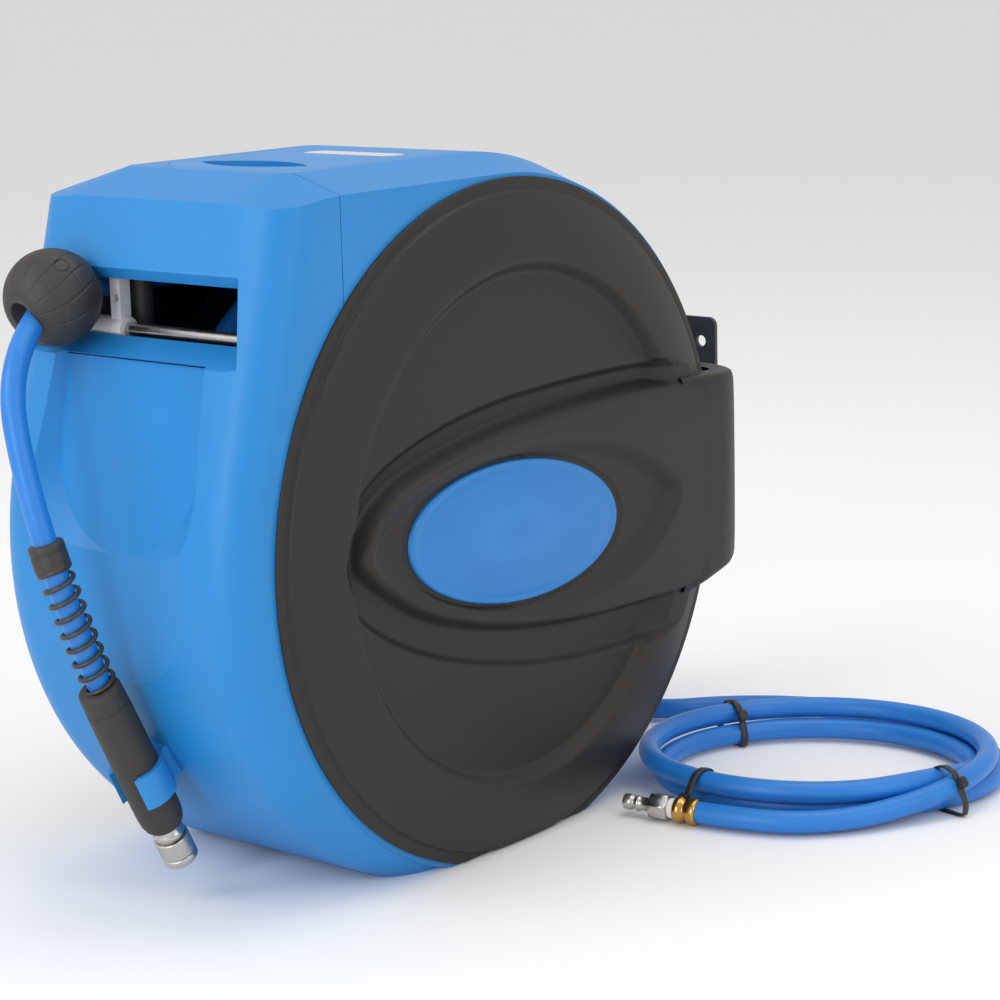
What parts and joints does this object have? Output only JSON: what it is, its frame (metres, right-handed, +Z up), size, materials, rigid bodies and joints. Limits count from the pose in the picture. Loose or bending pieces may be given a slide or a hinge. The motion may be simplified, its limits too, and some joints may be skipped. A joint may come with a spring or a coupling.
{
  "type": "retractable air hose reel",
  "caption": "Enclosed automatic air hose reel: leaning case, round side covers with wrap-round arms, spring drum, level wind, ball stop, hand grip and coiled inlet hose.",
  "frame": {"origin": "on the floor straight below the middle of the drum's axle", "axes": "+Z up, the hose leaves the front at -Y, the drum turns about X"},
  "size_m": [0.4245, 0.6516, 0.422],
  "materials": {
    "case_blue": "satin moulded",
    "cover_dark": "fine grained",
    "label_grey": "blank printed film",
    "hose_blue": "smooth satin",
    "black_plastic": "satin",
    "black_rubber": "matt",
    "brass": "turned",
    "steel": "plated",
    "painted_steel": "powder coated",
    "white_plastic": "natural",
    "grey_plastic": "moulded"
  },
  "bodies": {
    "case": {"front_shell": "case_blue", "rear_shell": "case_blue", "top_plate": "case_blue", "top_label": "label_grey", "side_cover_right": "cover_dark", "side_cover_left": "cover_dark", "side_arm_right": "cover_dark", "side_arm_left": "cover_dark", "badges": "case_blue", "rear_oval": "case_blue", "axle": "steel", "spring_arbor": "steel", "pawl_pin": "steel", "inlet_elbow": "brass", "timing_belt": "black_rubber", "belt_shoe": "cover_dark", "guide_rod": "steel", "guide_plates": "cover_dark", "ball_upper": "black_plastic", "ball_lower": "black_plastic", "ball_screws": "steel", "feed_hose": "hose_blue", "outlet_hose": "hose_blue", "spring_guard": "steel", "hand_grip": "black_plastic", "coupler_body": "steel", "hose_clip": "case_blue", "inlet_gland": "cover_dark", "inner_inlet_hose": "hose_blue", "inlet_hose": "hose_blue", "inlet_coil": "hose_blue", "inlet_tail": "hose_blue", "cable_ties": "black_plastic", "hose_ferrule": "brass", "thread_tape": "white_plastic", "inlet_plug": "brass", "hinge_ears": "cover_dark", "ear_screws": "steel"},
    "drum": {"drum_bushes": "brass", "drum_core": "grey_plastic", "drum_flanges": "painted_steel", "wound_hose": "hose_blue", "spring_case": "painted_steel", "spring_lid": "painted_steel", "mainspring": "steel", "air_swivel": "brass", "swivel_seals": "black_rubber", "ratchet_ring": "steel", "drum_pulley": "grey_plastic"},
    "level_screw": {"level_screw": "steel", "screw_pulley": "grey_plastic"},
    "carriage": {"carriage": "white_plastic", "roller_pins": "steel"},
    "roller_left": {"feed_roller_left": "white_plastic"},
    "roller_right": {"feed_roller_right": "white_plastic"},
    "pawl": {"pawl": "steel"},
    "coupler_sleeve": {"coupler_sleeve": "steel"},
    "bracket": {"wall_bracket": "painted_steel", "hinge_pin": "steel"}
  },
  "joints": [
    {"name": "drum_spin", "type": "hinge", "parent": "case", "child": "drum", "pos_m": [0, 0, 0.2], "axis": [1, 0, 0], "range_deg": [0, 2520], "stiffness_Nm_per_rad": 0.02},
    {"name": "screw_spin", "type": "hinge", "parent": "case", "child": "level_screw", "pos_m": [0, -0.178, 0.3], "axis": [1, 0, 0], "range_deg": [0, 2520]},
    {"name": "carriage_slide", "type": "slide", "parent": "case", "child": "carriage", "axis": [1, 0, 0], "range_m": [0, 0.1011], "deforming": ["feed_hose"]},
    {"name": "roller_left_spin", "type": "hinge", "parent": "carriage", "child": "roller_left", "pos_m": [-0.0702, -0.168, 0.356], "axis": [0, 0, 1], "continuous": true},
    {"name": "roller_right_spin", "type": "hinge", "parent": "carriage", "child": "roller_right", "pos_m": [-0.0378, -0.168, 0.356], "axis": [0, 0, 1], "continuous": true},
    {"name": "pawl_swing", "type": "hinge", "parent": "case", "child": "pawl", "pos_m": [-0.0645, 0.062, 0.266], "axis": [1, 0, 0], "range_deg": [-15, 0], "stiffness_Nm_per_rad": 0.05},
    {"name": "sleeve_slide", "type": "slide", "parent": "case", "child": "coupler_sleeve", "axis": [0, -0.44, 0.898], "range_m": [0, 0.004], "stiffness_N_per_m": 500},
    {"name": "bracket_swing", "type": "hinge", "parent": "case", "child": "bracket", "pos_m": [0, 0.266, 0.2], "axis": [0, 0, 1], "range_deg": [-25, 25]}
  ],
  "couplings": [
    {"joint": "screw_spin", "follows": "drum_spin", "ratio": 1},
    {"joint": "carriage_slide", "follows": "drum_spin", "m_per_rad": 0.0022759}
  ]
}
